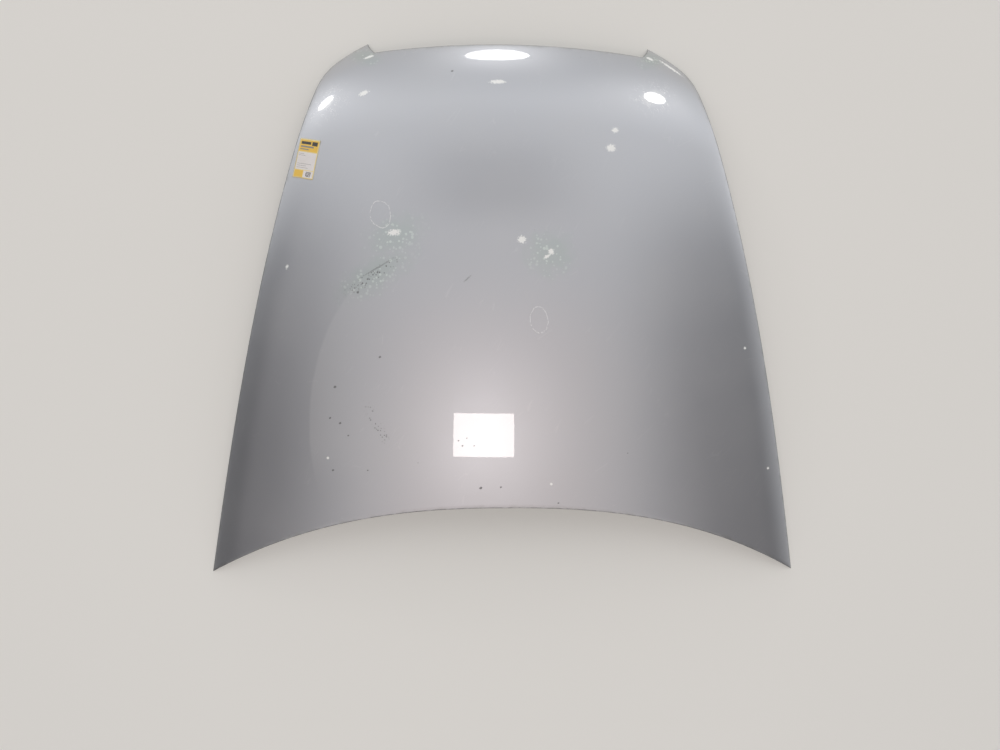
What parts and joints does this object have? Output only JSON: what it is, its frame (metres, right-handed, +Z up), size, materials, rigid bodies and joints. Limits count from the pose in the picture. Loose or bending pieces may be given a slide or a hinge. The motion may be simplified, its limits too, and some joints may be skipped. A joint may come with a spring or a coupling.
{
  "type": "car bonnet",
  "caption": "Steel car bonnet: a smooth crowned outer skin hemmed round a ribbed inner frame, with latch striker, felt pad, buffers and hinge seats underneath.",
  "frame": {"origin": "middle of the bonnet's box, at the level of the surface that its rim rests on", "axes": "+X across to the right side, +Y towards the nose, +Z up through the painted skin"},
  "size_m": [1.4624, 1.2988, 0.1528],
  "materials": {
    "silver_paint": "metallic silver paint under clear coat, glossy, chipped in places",
    "coated_steel": "thin satin body colour over primer",
    "bare_steel": "dull phosphated steel",
    "zinc_plated_steel": "zinc plated, slightly yellow",
    "black_rubber": "matt black",
    "black_plastic": "moulded black",
    "black_felt": "pressed black felt with a quilted face",
    "mastic": "dull grey brown mastic",
    "paper": "matt paper"
  },
  "bodies": {
    "root": {"outer_skin": "silver_paint", "inner_frame": "coated_steel", "latch_reinforcement": "bare_steel", "latch_weld_nut_left": "bare_steel", "latch_weld_nut_right": "bare_steel", "striker_plate": "zinc_plated_steel", "striker_loop": "zinc_plated_steel", "safety_hook": "zinc_plated_steel", "striker_bolt_left": "zinc_plated_steel", "striker_bolt_right": "zinc_plated_steel", "hinge_reinforcement_left": "bare_steel", "hinge_reinforcement_right": "bare_steel", "hinge_weld_nut_left_rear": "bare_steel", "hinge_weld_nut_left_front": "bare_steel", "hinge_weld_nut_right_rear": "bare_steel", "hinge_weld_nut_right_front": "bare_steel", "rubber_buffer_left": "black_rubber", "rubber_buffer_right": "black_rubber", "stay_bush": "black_plastic", "insulation_pad": "black_felt", "pad_clip_1": "black_plastic", "pad_clip_2": "black_plastic", "pad_clip_3": "black_plastic", "pad_clip_4": "black_plastic", "pad_clip_5": "black_plastic", "pad_clip_6": "black_plastic", "pad_clip_7": "black_plastic", "pad_clip_8": "black_plastic", "mastic_rear_centre_1": "mastic", "mastic_rear_centre_2": "mastic", "mastic_rear_centre_3": "mastic", "mastic_rear_centre_4": "mastic", "mastic_rear_right_1": "mastic", "mastic_rear_right_2": "mastic", "mastic_rear_right_3": "mastic", "mastic_rear_right_4": "mastic", "mastic_rear_left_1": "mastic", "mastic_rear_left_2": "mastic", "mastic_rear_left_3": "mastic", "mastic_rear_left_4": "mastic", "mastic_front_centre_1": "mastic", "mastic_front_centre_2": "mastic", "mastic_front_centre_3": "mastic", "mastic_front_centre_4": "mastic", "mastic_front_right_1": "mastic", "mastic_front_right_2": "mastic", "mastic_front_right_3": "mastic", "mastic_front_right_4": "mastic", "mastic_front_left_1": "mastic", "mastic_front_left_2": "mastic", "mastic_front_left_3": "mastic", "mastic_front_left_4": "mastic", "front_seal": "black_rubber", "paper_label": "paper"}
  },
  "joints": []
}
